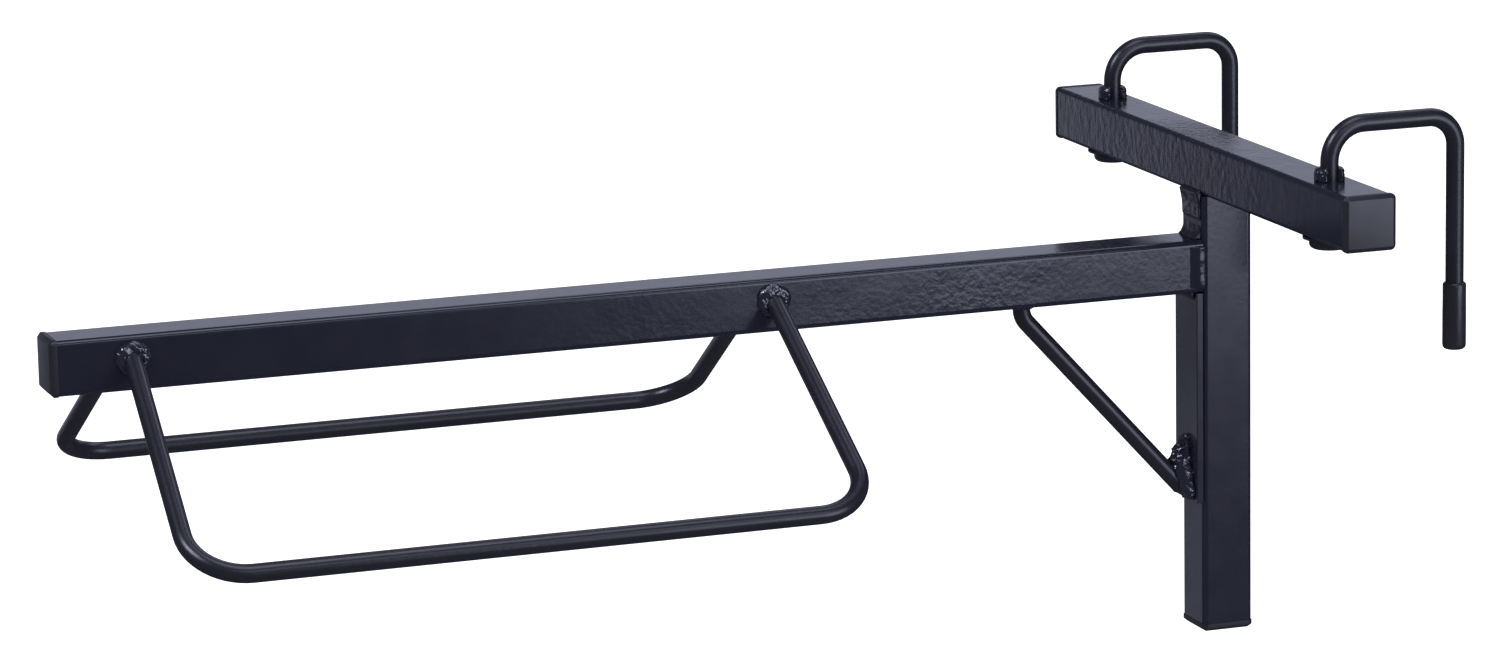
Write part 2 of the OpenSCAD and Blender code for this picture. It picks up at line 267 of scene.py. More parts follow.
@dataclass(frozen=True)
class Fade:
    """How the relief fades along one axis of the frame."""

    axis: str
    quiet_at: float
    full_at: float
    least: float

    def mask(self, recipe: Recipe) -> Value:
        """Makes the mask.

        Args:
            recipe: The material's nodes.

        Returns:
            1 where the relief is full, down to the least share where it is quiet.
        """
        along = recipe.node("ShaderNodeSeparateXYZ", {}, {"Vector": recipe.place()}, self.axis)
        return recipe.soft_step(along, self.quiet_at, self.full_at, self.least)


@dataclass(frozen=True)
class Patches:
    """How the relief comes and goes in patches."""

    per_metre: float
    quiet_below: float
    rough_above: float
    least: float
    gain: float

    def share(self, recipe: Recipe) -> Value:
        """Makes the relief's strength.

        Args:
            recipe: The material's nodes.

        Returns:
            The least share in quiet patches, and the gain on top of it in rough ones.
        """
        blotches = recipe.noise(recipe.place(), self.per_metre)
        return recipe.soft_step(blotches, self.quiet_below, self.rough_above) * self.gain + self.least


PEEL_PATCHES = Patches(per_metre=7.0, quiet_below=0.34, rough_above=0.70, least=0.15, gain=0.75)
STREAK_PATCHES = Patches(per_metre=16.0, quiet_below=0.28, rough_above=0.60, least=0.4, gain=0.6)
MOTTLE_SCALE, MOTTLE_DETAIL = 24.0, 3.0
GLOSS_SCALE = 60.0
# Coarser or finer noise in a grain, by its scale next to the fine one and its share of the height
PEEL_DETAIL, WAVE_SCALE, WAVE_SHARE = 1.5, 1.0 / 8.0, 0.7
DIMPLE_SCALE, DIMPLE_SHARE = 0.7, 0.8
CREASE_SCALE, CREASE_DETAIL, CREASE_SHARE = 1.7, 3.0, 0.8
SPARK_DETAIL, SPARK_ROUGHNESS = 3.0, 0.7
# Grains that are drawn out along Z
STREAK_STRETCH = (1.0, 1.0, 0.6)
DIP_STRETCH = (1.0, 1.0, 0.5)


@dataclass(frozen=True)
class Finish:
    """One finish of the rack: its colours, its gloss and its relief."""

    name: str
    slot: Slot
    grain: Grain
    colour: Colour
    light_colour: Colour
    roughness: float
    roughness_swing: float
    relief_depth: float
    relief_pitch: float
    specular: float = 0.5
    fade: Optional[Fade] = None

    def material(self) -> bpy.types.Material:
        """Makes the finish's material.

        Returns:
            The material, made once for each finish.
        """
        found = bpy.data.materials.get(self.name)
        if found:
            return found
        material = bpy.data.materials.new(self.name)
        recipe = Recipe(material)
        where = recipe.place()
        mottle = recipe.noise(where, MOTTLE_SCALE, MOTTLE_DETAIL)
        colour = recipe.node(
            "ShaderNodeMix",
            {"data_type": "RGBA"},
            {"Factor": mottle, MIX_FIRST: opaque(self.colour), MIX_SECOND: opaque(self.light_colour)},
            MIX_RESULT,
        )
        sheen = recipe.noise(where, GLOSS_SCALE)
        roughness = sheen * (2 * self.roughness_swing) + (self.roughness - self.roughness_swing)
        height = self._relief(recipe)
        if self.fade:
            height = height * self.fade.mask(recipe)
        bump = recipe.node(
            "ShaderNodeBump", {}, {"Strength": 1.0, "Distance": self.relief_depth, "Height": height}
        )
        shader = recipe.node(
            "ShaderNodeBsdfPrincipled",
            {},
            {
                "Base Color": colour,
                "Roughness": roughness,
                "Normal": bump,
                "Specular IOR Level": self.specular,
            },
        )
        recipe.node("ShaderNodeOutputMaterial", {}, {"Surface": shader})
        return material

    def _relief(self, recipe: Recipe) -> Value:
        """The height field of the finish's grain.

        Args:
            recipe: The material's nodes.

        Returns:
            Heights from about 0 to 1.
        """
        fine = 1.0 / self.relief_pitch
        if self.grain is Grain.PEEL:
            # The peel comes and goes in patches, over slow waves in the tube's wall
            peel = recipe.noise(recipe.place(), fine, PEEL_DETAIL)
            waves = recipe.noise(recipe.place(), fine * WAVE_SCALE, detail=1.0)
            return peel * PEEL_PATCHES.share(recipe) + waves * WAVE_SHARE
        if self.grain is Grain.STREAK:
            # Short upright runs, and dimples between them
            runs = recipe.noise(recipe.place(STREAK_STRETCH), fine)
            dimples = recipe.noise(recipe.place(), fine * DIMPLE_SCALE, detail=1.0)
            return (runs + dimples * DIMPLE_SHARE) * STREAK_PATCHES.share(recipe)
        if self.grain is Grain.CRUMPLE:
            folds = recipe.node(
                "ShaderNodeTexVoronoi",
                {"feature": "F1"},
                {"Vector": recipe.place(), "Scale": fine, "Randomness": 1.0},
            )
            creases = recipe.noise(recipe.place(), fine * CREASE_SCALE, CREASE_DETAIL)
            return folds + creases * CREASE_SHARE
        if self.grain is Grain.DIPPED:
            return recipe.noise(recipe.place(DIP_STRETCH), fine)
        return recipe.noise(recipe.place(), fine, SPARK_DETAIL, SPARK_ROUGHNESS)


GLOSS_COAT = Finish(
    name="gloss_powder_coat",
    slot=Slot.POWDER_COAT,
    grain=Grain.PEEL,
    colour=(0.0052, 0.0057, 0.0110),
    light_colour=(0.0085, 0.0090, 0.0160),
    roughness=0.16,
    roughness_swing=0.04,
    relief_depth=0.19 * MM,
    relief_pitch=3.2 * MM,
    fade=Fade("Y", quiet_at=-0.52, full_at=-0.24, least=0.15),
)
SMOOTH_COAT = replace(
    GLOSS_COAT, name="smooth_powder_coat", roughness=0.18,
    relief_depth=0.07 * MM, relief_pitch=3.0 * MM, fade=None,
)
STREAKED_COAT = Finish(
    name="streaked_powder_coat",
    slot=Slot.POWDER_COAT,
    grain=Grain.STREAK,
    colour=(0.0055, 0.0060, 0.0115),
    light_colour=(0.0090, 0.0095, 0.0170),
    roughness=0.19,
    roughness_swing=0.05,
    relief_depth=0.24 * MM,
    relief_pitch=4.0 * MM,
    fade=Fade("X", quiet_at=0.17, full_at=-0.02, least=0.25),
)
ROD_COAT = Finish(
    name="rod_powder_coat",
    slot=Slot.POWDER_COAT,
    grain=Grain.PEEL,
    colour=(0.0048, 0.0052, 0.0095),
    light_colour=(0.0080, 0.0084, 0.0140),
    roughness=0.30,
    roughness_swing=0.05,
    relief_depth=0.12 * MM,
    relief_pitch=2.6 * MM,
)
WELD_COAT = Finish(
    name="coated_weld",
    slot=Slot.WELD_COAT,
    grain=Grain.CRUMPLE,
    colour=(0.0040, 0.0044, 0.0085),
    light_colour=(0.0120, 0.0125, 0.0210),
    roughness=0.11,
    roughness_swing=0.04,
    relief_depth=0.10 * MM,
    relief_pitch=1.8 * MM,
    specular=0.9,
)
SMOOTH_WELD = Finish(
    name="smooth_coated_weld",
    slot=Slot.WELD_COAT,
    grain=Grain.PEEL,
    colour=(0.0045, 0.0049, 0.0092),
    light_colour=(0.0095, 0.0100, 0.0170),
    roughness=0.15,
    roughness_swing=0.04,
    relief_depth=0.06 * MM,
    relief_pitch=4.0 * MM,
)
CAP_PLASTIC = Finish(
    name="moulded_cap_plastic",
    slot=Slot.CAP_PLASTIC,
    grain=Grain.MOULDED,
    colour=(0.0060, 0.0063, 0.0105),
    light_colour=(0.0100, 0.0103, 0.0160),
    roughness=0.36,
    roughness_swing=0.06,
    relief_depth=0.04 * MM,
    relief_pitch=0.8 * MM,
)
TIP_RUBBER = Finish(
    name="dipped_tip_rubber",
    slot=Slot.TIP_RUBBER,
    grain=Grain.DIPPED,
    colour=(0.0060, 0.0062, 0.0095),
    light_colour=(0.0110, 0.0112, 0.0160),
    roughness=0.33,
    roughness_swing=0.06,
    relief_depth=0.25 * MM,
    relief_pitch=4.0 * MM,
)


# ---- Shop tools: what every sub-assembly is made with -----------------------


def only(kind: type, parts: Iterable[Any]) -> list[Any]:
    """Picks one kind of part out of an operator's result.

    Args:
        kind: The kind, such as bmesh.types.BMEdge.
        parts: Vertices, edges and faces.

    Returns:
        The parts of that kind.
    """
    return [part for part in parts if isinstance(part, kind)]


def as_data(mesh: bmesh.types.BMesh, name: str) -> bpy.types.Mesh:
    """Turns a bmesh into mesh data.

    Args:
        mesh: The bmesh. It is freed.
        name: The data's name.

    Returns:
        The data.
    """
    data = bpy.data.meshes.new(name)
    mesh.to_mesh(data)
    mesh.free()
    return data


def add_object(name: str, data: bpy.types.ID) -> bpy.types.Object:
    """Puts an object in the scene.

    Args:
        name: The object's name.
        data: Its mesh, light or camera.

    Returns:
        The object.
    """
    made = bpy.data.objects.new(name, data)
    bpy.context.scene.collection.objects.link(made)
    return made


def centre_of(node: str) -> Vector:
    """Middle of a frame node's box.

    Args:
        node: The node's name.

    Returns:
        The point, in metres.
    """
    low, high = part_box(node)
    return (low + high) / 2


def put_down(
    mesh: bmesh.types.BMesh,
    name: str,
    finish: Finish,
    nodes: Sequence[str],
    sharp_above: float = 35.0,
    crisp: bool = False,
    faceted: bool = False,
) -> bpy.types.Object:
    """Turns a finished bmesh into a piece of the rack.

    Args:
        mesh: The piece's shape, in place. It is freed.
        name: The piece's name.
        finish: What it is finished with.
        nodes: The frame's nodes that it stands for.
        sharp_above: Edges that turn more than this many degrees stay sharp.
        crisp: Whether flat faces keep flat shading next to rounded edges.
        faceted: Whether every face is shaded flat.

    Returns:
        The piece.
    """
    bmesh.ops.remove_doubles(mesh, verts=mesh.verts, dist=MERGE)
    bmesh.ops.recalc_face_normals(mesh, faces=mesh.faces)
    limit = math.radians(sharp_above)
    for face in mesh.faces:
        face.smooth = not faceted
    for edge in mesh.edges:
        edge.smooth = not (len(edge.link_faces) == 2 and edge.calc_face_angle(0.0) > limit)
    data = as_data(mesh, name)
    data.materials.append(finish.material())
    piece = add_object(name, data)
    if crisp:
        weighted = piece.modifiers.new("flat_faces_win", "WEIGHTED_NORMAL")
        weighted.keep_sharp = True
        weighted.weight = FLAT_FACE_WEIGHT
    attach(piece, BODY)
    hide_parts(*nodes)
    log.info("%s: %d faces in %s", name, len(data.polygons), finish.name)
    return piece


def bevel(
    mesh: bmesh.types.BMesh, parts: Iterable[Any], width: float, segments: int, affect: str = "EDGES"
) -> None:
    """Rounds edges or flat corners.

    Args:
        mesh: The mesh that they belong to.
        parts: The edges, or the vertices at the corners.
        width: Width of the rounding on each side.
        segments: Strips around the rounding.
        affect: "EDGES" or "VERTICES", as the parts are.
    """
    bmesh.ops.bevel(
        mesh, geom=list(parts), offset=width, offset_type="OFFSET", segments=segments,
        profile=ROUND_PROFILE, affect=affect, material=-1, clamp_overlap=True,
    )


def raise_face(
    mesh: bmesh.types.BMesh, faces: list[bmesh.types.BMFace], by: Vector
) -> list[bmesh.types.BMFace]:
    """Extrudes faces as one region.

    Args:
        mesh: The mesh that the faces belong to.
        faces: The faces.
        by: How far the extruded faces move.

    Returns:
        The moved faces.
    """
    made = bmesh.ops.extrude_face_region(mesh, geom=faces)["geom"]
    bmesh.ops.translate(mesh, verts=only(bmesh.types.BMVert, made), vec=by)
    return only(bmesh.types.BMFace, made)


def rounded_square(
    mesh: bmesh.types.BMesh, size: float, corner: float, segments: int = 8
) -> bmesh.types.BMFace:
    """One face, square with rounded corners, centred on the origin in the XY plane.

    Args:
        mesh: The mesh that it is made in, empty so far.
        size: Width of the square.
        corner: Radius of its corners.
        segments: Strips around each corner.

    Returns:
        The face.
    """
    bmesh.ops.create_grid(mesh, x_segments=1, y_segments=1, size=size / 2)
    bevel(mesh, mesh.verts, corner, segments, affect="VERTICES")
    mesh.faces.ensure_lookup_table()
    return mesh.faces[0]


def turned(outline: Sequence[tuple[float, float]], centre: Vector, segments: int = 64) -> bmesh.types.BMesh:
    """Turns an outline about the vertical line through a point.

    Args:
        outline: Radius and height of each point, from the axis round to the axis or to the start.
        centre: The point that the heights count from.
        segments: Strips around the axis.

    Returns:
        The closed shape.
    """
    mesh = bmesh.new()
    points = [mesh.verts.new(centre + Vector((radius, 0.0, height))) for radius, height in outline]
    edges = [mesh.edges.new(pair) for pair in zip(points, points[1:])]
    bmesh.ops.spin(
        mesh, geom=points + edges, cent=centre, axis=(0.0, 0.0, 1.0), dvec=(0.0, 0.0, 0.0),
        angle=2 * math.pi, steps=segments, use_merge=True, use_duplicate=False,
    )
    bmesh.ops.remove_doubles(mesh, verts=mesh.verts, dist=MERGE)
    return mesh


def swept_rod(
    route: Sequence[Vector], bend: Sequence[float], radius: float, sides: int = 40, steps: int = 14
) -> bmesh.types.BMesh:
    """Draws a round rod along straights that are joined by bends.

    Args:
        route: The axis's two ends, with its corners between them.
        bend: Bend radius at each corner.
        radius: The rod's radius.
        sides: Strips around the rod.
        steps: Rings around each bend.

    Returns:
        The rod, closed at both ends.
    """
    mesh = bmesh.new()
    ahead = (route[1] - route[0]).normalized()
    stand = Matrix.Translation(route[0]) @ ahead.to_track_quat("Z", "Y").to_matrix().to_4x4()
    circle = bmesh.ops.create_circle(mesh, cap_ends=True, radius=radius, segments=sides, matrix=stand)
    # Each edge once, in the same order every time
    ring = list(dict.fromkeys(edge for vert in circle["verts"] for edge in vert.link_edges))
    here = route[0]
    for corner, beyond, bend_radius in zip(route[1:-1], route[2:], bend):
        after = (beyond - corner).normalized()
        turn = ahead.angle(after)
        cut_back = bend_radius * math.tan(turn / 2)
        ring = _run_on(mesh, ring, corner - ahead * cut_back - here)
        inward = (after - ahead * ahead.dot(after)).normalized()
        spun = bmesh.ops.spin(
            mesh, geom=ring, cent=corner - ahead * cut_back + inward * bend_radius,
            axis=ahead.cross(after).normalized(), dvec=(0.0, 0.0, 0.0), angle=turn,
            steps=steps, use_merge=False, use_duplicate=False,
        )
        ring = only(bmesh.types.BMEdge, spun["geom_last"])
        here = corner + after * cut_back
        ahead = after
    ring = _run_on(mesh, ring, route[-1] - here)
    bmesh.ops.contextual_create(mesh, geom=ring)
    return mesh


def _run_on(
    mesh: bmesh.types.BMesh, ring: list[bmesh.types.BMEdge], by: Vector
) -> list[bmesh.types.BMEdge]:
    """Extrudes a ring of edges straight on.

    Args:
        mesh: The rod's mesh.
        ring: The edges of its open end.
        by: How far the end moves.

    Returns:
        The edges of the new end.
    """
    made = bmesh.ops.extrude_edge_only(mesh, edges=ring)["geom"]
    bmesh.ops.translate(mesh, verts=only(bmesh.types.BMVert, made), vec=by)
    return only(bmesh.types.BMEdge, made)


def end_route(route: list[Vector], extra: float) -> list[Vector]:
    """Lengthens a route at both ends.

    Args:
        route: The axis's ends and corners.
        extra: Extra length at each end.

    Returns:
        The longer route.
    """
    first = route[0] + (route[0] - route[1]).normalized() * extra
    last = route[-1] + (route[-1] - route[-2]).normalized() * extra
    return [first, *route[1:-1], last]


# ---- Tubes, flat bar and caps -----------------------------------------------


@dataclass
class SquareTube:
    """One of the rack's square tubes."""

    node: str
    turn: Matrix
    finish: Finish
    wall: float = 2.0 * MM
    corner: float = 3.0 * MM
    short_of_top: float = 0.0

    def build(self) -> bpy.types.Object:
        """Makes the hollow tube inside its node's box.

        Returns:
            The piece.
        """
        low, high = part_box(self.node)
        size = min(high - low)
        length = max(high - low) - self.short_of_top
        mesh = bmesh.new()
        face = rounded_square(mesh, size, self.corner)
        bmesh.ops.inset_region(
            mesh, faces=[face], thickness=self.wall, use_boundary=True, use_even_offset=True
        )
        bmesh.ops.delete(mesh, geom=[face], context="FACES_ONLY")
        raise_face(mesh, mesh.faces[:], Vector((0.0, 0.0, length)))
        shift = Vector((0.0, 0.0, -length / 2))
        middle = (low + high) / 2 - Vector((0.0, 0.0, self.short_of_top / 2))
        place = Matrix.Translation(middle) @ self.turn @ Matrix.Translation(shift)
        bmesh.ops.transform(mesh, matrix=place, verts=mesh.verts)
        return put_down(mesh, self.node + "_coated", self.finish, [self.node], crisp=True)


@dataclass
class EndCap:
    """A push-in plastic cap: rim, bevelled face and hollow plug."""

    node: str
    facing: Vector
    corner: float = 3.0 * MM
    rim: float = 2.5 * MM
    face_rise: float = 2.0 * MM
    bevel_width: float = 1.9 * MM
    plug_step: float = 2.8 * MM
    plug_wall: float = 1.8 * MM
    softness: float = 0.4 * MM
    soft_steps: int = 3
    soft_run: float = 1.1

    def build(self) -> bpy.types.Object:
        """Makes the cap at its node's place.

        Returns:
            The piece.
        """
        low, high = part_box(self.node)
        size = max(high - low)
        depth = min(high - low)
        plug = depth - self.rim - self.face_rise
        mesh = bmesh.new()
        base = rounded_square(mesh, size, self.corner)
        up = Vector((0.0, 0.0, 1.0))
        top = raise_face(mesh, [base], up * (self.rim - self.softness))[0]
        self._round_over(mesh, top, from_upright=True)
        self._step_in(mesh, top, self.bevel_width, self.face_rise - self.softness)
        self._round_over(mesh, top, from_upright=False)
        self._step_in(mesh, base, self.plug_step, 0.0)
        foot = raise_face(mesh, [base], -up * plug)[0]
        self._step_in(mesh, foot, self.plug_wall, 0.0)
        raise_face(mesh, [foot], up * (plug - self.rim / 2))
        turn = self.facing.to_track_quat("Z", "Y").to_matrix().to_4x4()
        outside = (low + high) / 2 + self.facing * (depth / 2 - self.rim - self.face_rise)
        bmesh.ops.transform(mesh, matrix=Matrix.Translation(outside) @ turn, verts=mesh.verts)
        return put_down(mesh, self.node + "_moulded", CAP_PLASTIC, [self.node])

    @staticmethod
    def _step_in(mesh: bmesh.types.BMesh, face: bmesh.types.BMFace, inwards: float, rise: float) -> None:
        """Insets a face and raises it.

        Args:
            mesh: The cap's mesh.
            face: The face, which stays the inner one.
            inwards: Width of the new border.
            rise: How far the face moves up.
        """
        bmesh.ops.inset_region(mesh, faces=[face], thickness=inwards, use_even_offset=True)
        bmesh.ops.translate(mesh, verts=face.verts[:], vec=(0.0, 0.0, rise))

    def _round_over(self, mesh: bmesh.types.BMesh, face: bmesh.types.BMFace, from_upright: bool) -> None:
        """Rounds the edge around a face in a few steps.

        Args:
            mesh: The cap's mesh.
            face: The top face so far.
            from_upright: Whether the wall below is upright, and not the bevel's slope.
        """
        first, last = (90.0, 45.0) if from_upright else (45.0, 0.0)
        step = (first - last) / self.soft_steps
        for count in range(self.soft_steps):
            slope = math.radians(first - (count + 0.5) * step)
            run = self.soft_run * self.softness / self.soft_steps
            self._step_in(mesh, face, run * math.cos(slope), run * math.sin(slope))


@dataclass
class TubeFrame:
    """Arm, post, beam and flat bar, with the caps on the tubes' ends."""

    bar_edge: float = 0.5 * MM
    bar_edge_steps: int = 3
    post_gap: float = 0.35 * MM

    def build(self) -> None:
        """Makes the frame's pieces."""
        upright = Matrix.Identity(4)
        along_y = Matrix.Rotation(math.radians(90), 4, "X")
        along_x = Matrix.Rotation(math.radians(90), 4, "Y")
        SquareTube("arm_tube", along_y, GLOSS_COAT).build()
        SquareTube("post_tube", upright, SMOOTH_COAT, short_of_top=self.post_gap).build()
        SquareTube("cross_beam", along_x, STREAKED_COAT).build()
        EndCap("arm_end_cap", Vector((0.0, -1.0, 0.0))).build()
        EndCap("post_end_cap", Vector((0.0, 0.0, -1.0))).build()
        for side in Side:
            EndCap(f"beam_cap_{side.word}", Vector((side.value, 0.0, 0.0))).build()
        self.flat_bar()

    def flat_bar(self) -> bpy.types.Object:
        """The flat bar on the post, with its rolled edges.

        Returns:
            The piece.
        """
        low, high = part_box("backing_plate")
        mesh = bmesh.new()
        bmesh.ops.create_cube(mesh, size=1.0)
        bmesh.ops.scale(mesh, vec=high - low, verts=mesh.verts)
        bmesh.ops.translate(mesh, vec=(low + high) / 2, verts=mesh.verts)
        bevel(mesh, mesh.edges, self.bar_edge, self.bar_edge_steps)
        return put_down(mesh, "backing_plate_coated", SMOOTH_COAT, ["backing_plate"], crisp=True)


# ---- Rods -------------------------------------------------------------------


@dataclass
class Wings:
    """The two bent rods that carry the saddle's panels."""

    splay: float = math.radians(2)
    corner_bend: float = 30 * MM
    hidden: float = 12 * MM
    cut_within: float = 0.001 * MM

    def build(self) -> None:
        """Makes both wings."""
        for side in Side:
            self.wing(side)

    def wing(self, side: Side) -> bpy.types.Object:
        """One wing, cut off at the arm's side.

        Args:
            side: Which wing it is.

        Returns:
            The piece.
        """
        node = f"wing_{side.word}"
        low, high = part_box(node)
        weld_low, weld_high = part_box("wing_welds")
        _, arm_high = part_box("arm_tube")
        weld_radius = (weld_high.z - weld_low.z) / 2
        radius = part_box("hook_left")[1].x - centre_of("hook_left").x
        root = Vector((side.value * arm_high.x, 0.0, (weld_high.z + weld_low.z) / 2))
        outer_x = side.value * (max(abs(low.x), abs(high.x)) - radius)
        corner = Vector((outer_x, 0.0, low.z + radius))
        shift = (corner - root).length * math.tan(self.splay)
        front = Vector((0.0, weld_low.y + weld_radius, 0.0))
        rear = Vector((0.0, weld_high.y - weld_radius, 0.0))
        outward = Vector((0.0, shift, 0.0))
        route = [root + front, corner + front - outward, corner + rear + outward, root + rear]
        mesh = swept_rod(end_route(route, self.hidden), [self.corner_bend] * 2, radius)
        everything = mesh.verts[:] + mesh.edges[:] + mesh.faces[:]
        cut = bmesh.ops.bisect_plane(
            mesh, geom=everything, dist=self.cut_within, plane_co=root,
            plane_no=(side.value, 0.0, 0.0), clear_inner=True,
        )
        bmesh.ops.holes_fill(mesh, edges=only(bmesh.types.BMEdge, cut["geom_cut"]), sides=0)
        return put_down(mesh, node + "_coated", ROD_COAT, [node])


@dataclass
class Brace:
    """The thin rod that props the arm up from the flat bar."""

    bend: float = 12 * MM
    stub: float = 7.5 * MM
    foot_rise: float = 6 * MM

    def build(self) -> bpy.types.Object:
        """Makes the brace, square-cut at its foot.

        Returns:
            The piece.
        """
        low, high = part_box("brace_rod")
        bar_low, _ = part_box("backing_plate")
        radius = high.x
        top = Vector((0.0, low.y + radius, high.z))
        corner = top - Vector((0.0, 0.0, self.stub))
        touch = Vector((0.0, high.y, bar_low.z + self.foot_rise + radius))
        run = touch - corner
        slope = math.atan2(-run.z, run.y) + math.asin(radius / run.length)
        foot = touch - radius * Vector((0.0, math.sin(slope), math.cos(slope)))
        mesh = swept_rod([top, corner, foot], [self.bend], radius)
        return put_down(mesh, "brace_rod_coated", ROD_COAT, ["brace_rod"])


# A tip's rounded lower end: distance in from its side and up from its end, in bevel widths
TIP_NOSE = ((2.4, 0.0), (1.2, 0.5), (0.3, 1.6), (0.0, 3.2))
# The uneven side above it: radius and height, as shares of the tip's own
TIP_SIDE = ((1.0, 0.55), (0.985, 0.75))


@dataclass
class Hooks:
    """The two hooks with their rubber tips, washers and cap nuts."""

    front_bend: float = 20 * MM
    rear_bend: float = 16 * MM
    tip_bevel: float = 0.8 * MM
    tip_floor: float = 3.0 * MM
    nut_round: float = 3.0 * MM
    washer_edge: float = 0.35 * MM
    washer_bore: float = 0.36
    edge_middle: float = 0.3
    round_steps: int = 6

    def build(self) -> None:
        """Makes both hooks and what is on them."""
        for side in Side:
            self.hook(side)
            self.tip(side)
            self.washer(side)
            self.cap_nut(side)

    def hook(self, side: Side) -> bpy.types.Object:
        """One hook.

        Args:
            side: Which hook it is.

        Returns:
            The piece.
        """
        node = f"hook_{side.word}"
        low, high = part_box(node)
        radius = (high.x - low.x) / 2
        x = (high.x + low.x) / 2
        front_y, rear_y, top_z = low.y + radius, high.y - radius, high.z - radius
        nut_bottom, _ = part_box("hook_cap_nuts")
        route = [
            Vector((x, front_y, (nut_bottom.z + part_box("hook_washers")[0].z) / 2)),
            Vector((x, front_y, top_z)),
            Vector((x, rear_y, top_z)),
            Vector((x, rear_y, low.z)),
        ]
        mesh = swept_rod(route, [self.front_bend, self.rear_bend], radius)
        return put_down(mesh, node + "_coated", ROD_COAT, [node])

    @staticmethod
    def _seat(side: Side, low: Vector, high: Vector) -> Vector:
        """Where the turned parts under the beam stand.

        Args:
            side: Which hook they are on.
            low: Lowest corner of the pair's box.
            high: Highest corner of the pair's box.

        Returns:
            The lowest point of their axis.
        """
        return Vector((centre_of(f"hook_{side.word}").x, (high.y + low.y) / 2, low.z))

    def tip(self, side: Side) -> bpy.types.Object:
        """One rubber tip: a sleeve with bevelled ends, slightly uneven.

        Args:
            side: Which hook it is on.

        Returns:
            The piece.
        """
        node = f"hook_tip_{side.word}"
        low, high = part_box(node)
        radius = (high.x - low.x) / 2
        bore = (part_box("hook_left")[1].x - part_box("hook_left")[0].x) / 2
        height = high.z - low.z
        soft = self.tip_bevel
        outline = [
            (0.0, 0.0),
            *((radius - inwards * soft, upwards * soft) for inwards, upwards in TIP_NOSE),
            *((radius * width, height * upwards) for width, upwards in TIP_SIDE),
            # The lip around the open end
            (radius * 0.99, height - 2 * soft),
            (radius * 0.97, height - soft),
            (radius - soft, height - 0.2 * soft),
            (bore + 0.2 * soft, height),
            (bore, height - 0.3 * soft),
            # The blind bore
            (bore, self.tip_floor),
            (0.0, self.tip_floor),
        ]
        place = Vector(((high.x + low.x) / 2, (high.y + low.y) / 2, low.z))
        mesh = turned(outline, place)
        return put_down(mesh, node + "_dipped", TIP_RUBBER, [node], sharp_above=60.0)

    def washer(self, side: Side) -> bpy.types.Object:
        """One washer, with its punched edges.

        Args:
            side: Which hook it is on.

        Returns:
            The piece.
        """
        low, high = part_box("hook_washers")
        radius = (high.y - low.y) / 2
        bore = radius * self.washer_bore
        height = high.z - low.z
        edge = self.washer_edge
        # A punched edge has one more point halfway round
        middle = self.edge_middle * edge
        outline = [
            (bore, 0.0), (radius - edge, 0.0), (radius - middle, middle), (radius, edge),
            (radius, height - edge), (radius - middle, height - middle), (radius - edge, height),
            (bore, height), (bore, 0.0),
        ]
        mesh = turned(outline, self._seat(side, low, high))
        # The pair is one node, which the second of them stands for
        nodes = ["hook_washers"] if side is Side.RIGHT else []
        return put_down(mesh, f"hook_washer_{side.word}_coated", ROD_COAT, nodes)

    def cap_nut(self, side: Side) -> bpy.types.Object:
        """One low domed cap nut.

        Args:
            side: Which hook it is on.

        Returns:
            The piece.
        """
        low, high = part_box("hook_cap_nuts")
        radius = (high.y - low.y) / 2
        height = high.z - low.z
        flat = radius - self.nut_round
        arc = [math.pi / 2 * step / self.round_steps for step in range(self.round_steps + 1)]
        outline = [
            (0.0, 0.0),
            *((flat + self.nut_round * math.sin(a), self.nut_round * (1 - math.cos(a))) for a in arc),
            (radius, height),
            (0.0, height),
        ]
        mesh = turned(outline, self._seat(side, low, high))
        nodes = ["hook_cap_nuts"] if side is Side.RIGHT else []
        return put_down(mesh, f"hook_cap_nut_{side.word}_coated", ROD_COAT, nodes)


# ---- Welds ------------------------------------------------------------------


